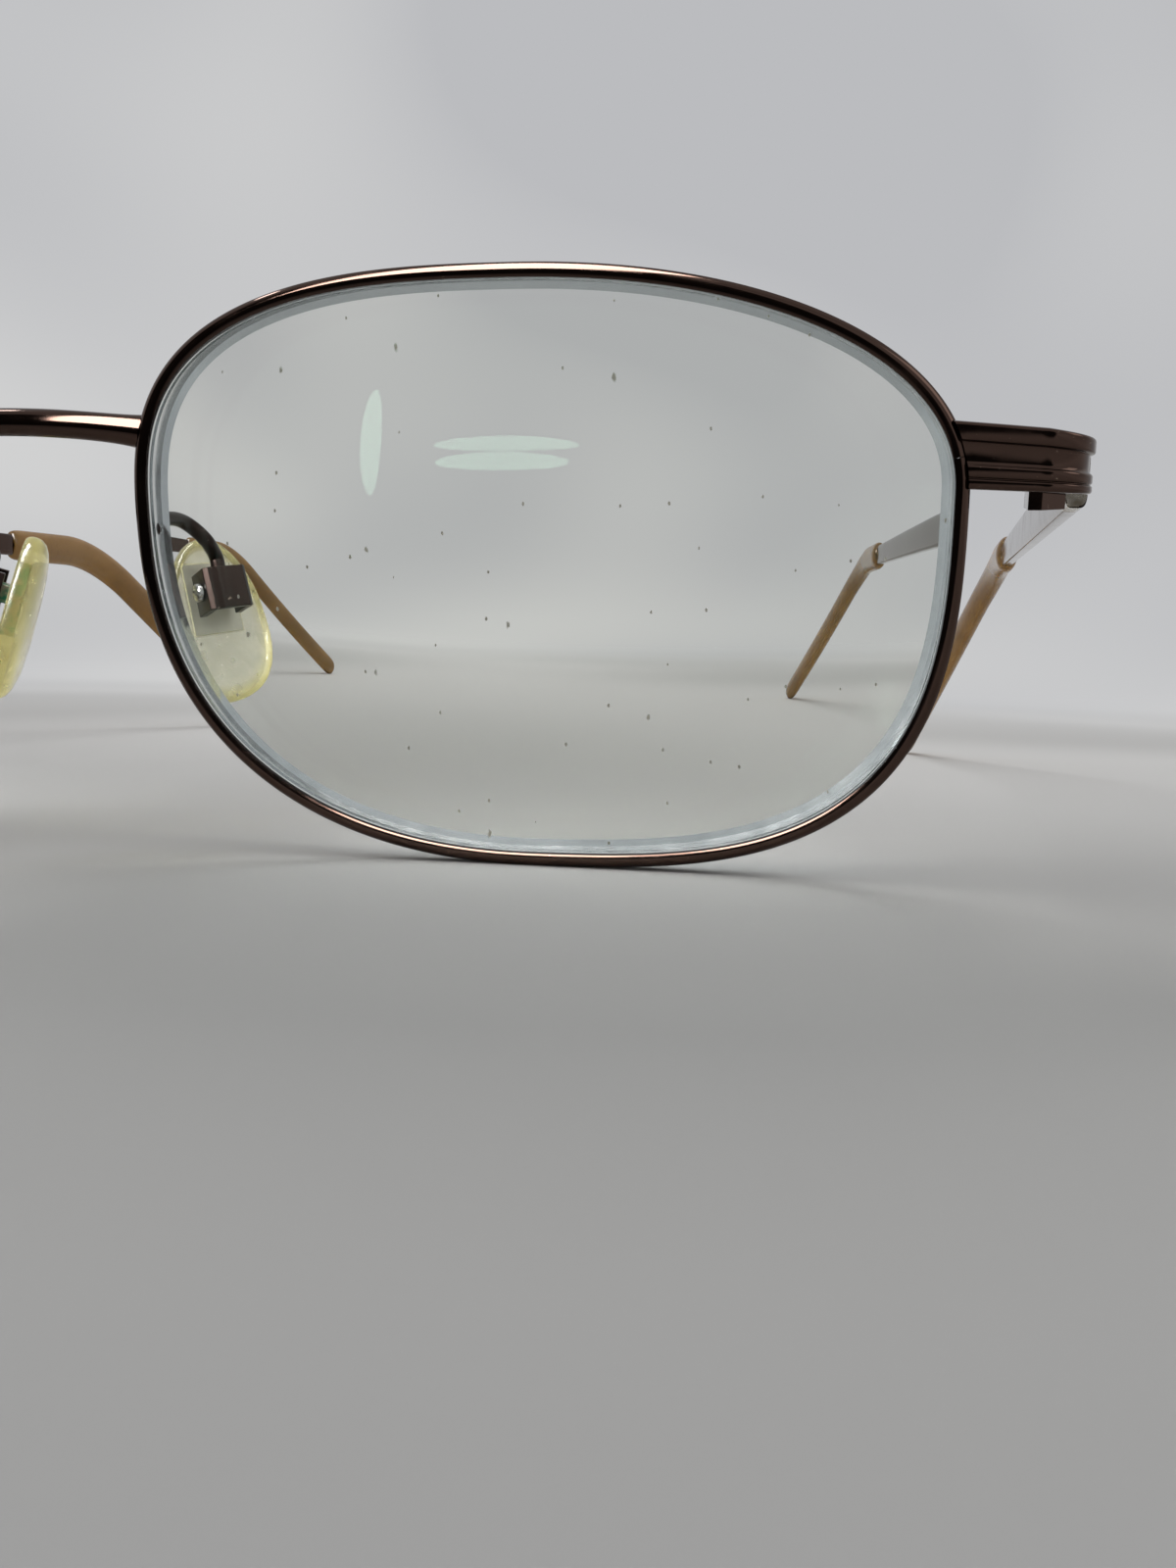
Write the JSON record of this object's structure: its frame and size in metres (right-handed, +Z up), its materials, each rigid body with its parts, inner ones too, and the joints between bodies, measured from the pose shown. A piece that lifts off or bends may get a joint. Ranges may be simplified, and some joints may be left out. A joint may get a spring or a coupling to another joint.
{
  "type": "eyeglasses",
  "caption": "Full-rim metal eyeglasses with oval lenses, arched bridge, adjustable nose pads, screw hinges and folding temples with curved plastic tips.",
  "frame": {"origin": "centre of the bounding box at floor level, under the open glasses as they stand on rims and tips", "axes": "+Z up, +X to the wearer's left, +Y back towards the temple tips"},
  "size_m": [0.1446, 0.1522, 0.0378],
  "materials": {
    "bronze": "polished dark bronze plating",
    "nickel": "bare nickel silver, tumbled",
    "steel": "turned stainless steel",
    "lens": "coated clear lens plastic",
    "acetate": "polished translucent amber",
    "pvc": "clear soft plastic, yellowed"
  },
  "bodies": {
    "front": {"bridge": "bronze", "left_rim": "bronze", "left_lens": "lens", "left_end_piece": "bronze", "left_rim_lock_upper": "bronze", "left_rim_lock_lower": "bronze", "left_rim_screw": "steel", "left_hinge_front": "nickel", "left_hinge_screw": "steel", "left_pad_arm": "bronze", "left_pad_box": "bronze", "left_pad_screw": "steel", "right_rim": "bronze", "right_lens": "lens", "right_end_piece": "bronze", "right_rim_lock_upper": "bronze", "right_rim_lock_lower": "bronze", "right_rim_screw": "steel", "right_hinge_front": "nickel", "right_hinge_screw": "steel", "right_pad_arm": "bronze", "right_pad_box": "bronze", "right_pad_screw": "steel"},
    "left_temple": {"left_hinge_temple": "nickel", "left_temple_bar": "bronze", "left_temple_tip": "acetate"},
    "left_pad": {"left_nose_pad": "pvc", "left_pad_insert": "nickel"},
    "right_temple": {"right_hinge_temple": "nickel", "right_temple_bar": "bronze", "right_temple_tip": "acetate"},
    "right_pad": {"right_nose_pad": "pvc", "right_pad_insert": "nickel"}
  },
  "joints": [
    {"name": "left_temple_fold", "type": "hinge", "parent": "front", "child": "left_temple", "pos_m": [0.06724, -0.06388, 0.02616], "axis": [0, -0.1626, 0.9867], "range_deg": [0, 86]},
    {"name": "right_temple_fold", "type": "hinge", "parent": "front", "child": "right_temple", "pos_m": [-0.06724, -0.06388, 0.02616], "axis": [0, 0.1626, -0.9867], "range_deg": [0, 82]},
    {"name": "left_pad_rock", "type": "hinge", "parent": "front", "child": "left_pad", "pos_m": [0.00891, -0.06529, 0.01789], "axis": [0.5, 0.8545, 0.1408], "range_deg": [-10, 10]},
    {"name": "right_pad_rock", "type": "hinge", "parent": "front", "child": "right_pad", "pos_m": [-0.00891, -0.06529, 0.01789], "axis": [-0.5, 0.8545, 0.1408], "range_deg": [-10, 10]}
  ]
}
